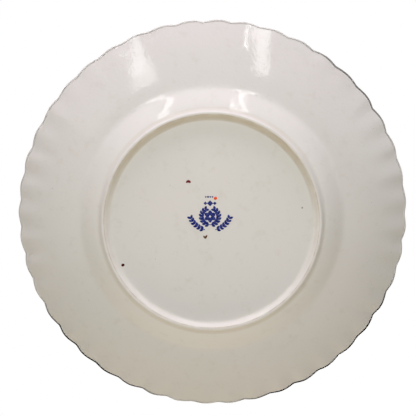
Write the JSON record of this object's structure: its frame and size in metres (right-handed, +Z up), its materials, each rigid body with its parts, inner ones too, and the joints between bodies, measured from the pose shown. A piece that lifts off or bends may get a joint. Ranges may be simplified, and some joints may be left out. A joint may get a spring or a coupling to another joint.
{
  "type": "dinner plate",
  "caption": "Round china dinner plate with a flat well, a wide rim fluted into scalloped lobes, a metal-lined lip and a low foot ring underneath.",
  "frame": {"origin": "centre of the plane that the foot ring rests on, at the bottom of the bounding box", "axes": "+Z up out of the eating face; +Y towards the top of the printed mark underneath"},
  "size_m": [0.267, 0.267, 0.021],
  "materials": {
    "china": "gloss clear glaze over warm white china",
    "lip_metal": "thin fired metal line, slightly worn",
    "cobalt_print": "cobalt print under gloss glaze",
    "red_enamel": "gloss iron red enamel",
    "orange_enamel": "gloss orange enamel",
    "brown_enamel": "gloss brown enamel",
    "maroon_enamel": "gloss dark red enamel",
    "speck": "kiln grit under glaze"
  },
  "bodies": {
    "root": {"china_body": "china", "lip_line": "lip_metal", "stamp_wreath": "cobalt_print", "stamp_flower": "cobalt_print", "stamp_sprig_left": "cobalt_print", "stamp_sprig_right": "cobalt_print", "stamp_diamonds": "cobalt_print", "stamp_beads": "cobalt_print", "enamel_tick_red": "red_enamel", "enamel_dot_orange": "orange_enamel", "enamel_strokes_brown": "brown_enamel", "enamel_dab_maroon": "maroon_enamel", "kiln_speck": "speck"}
  },
  "joints": []
}
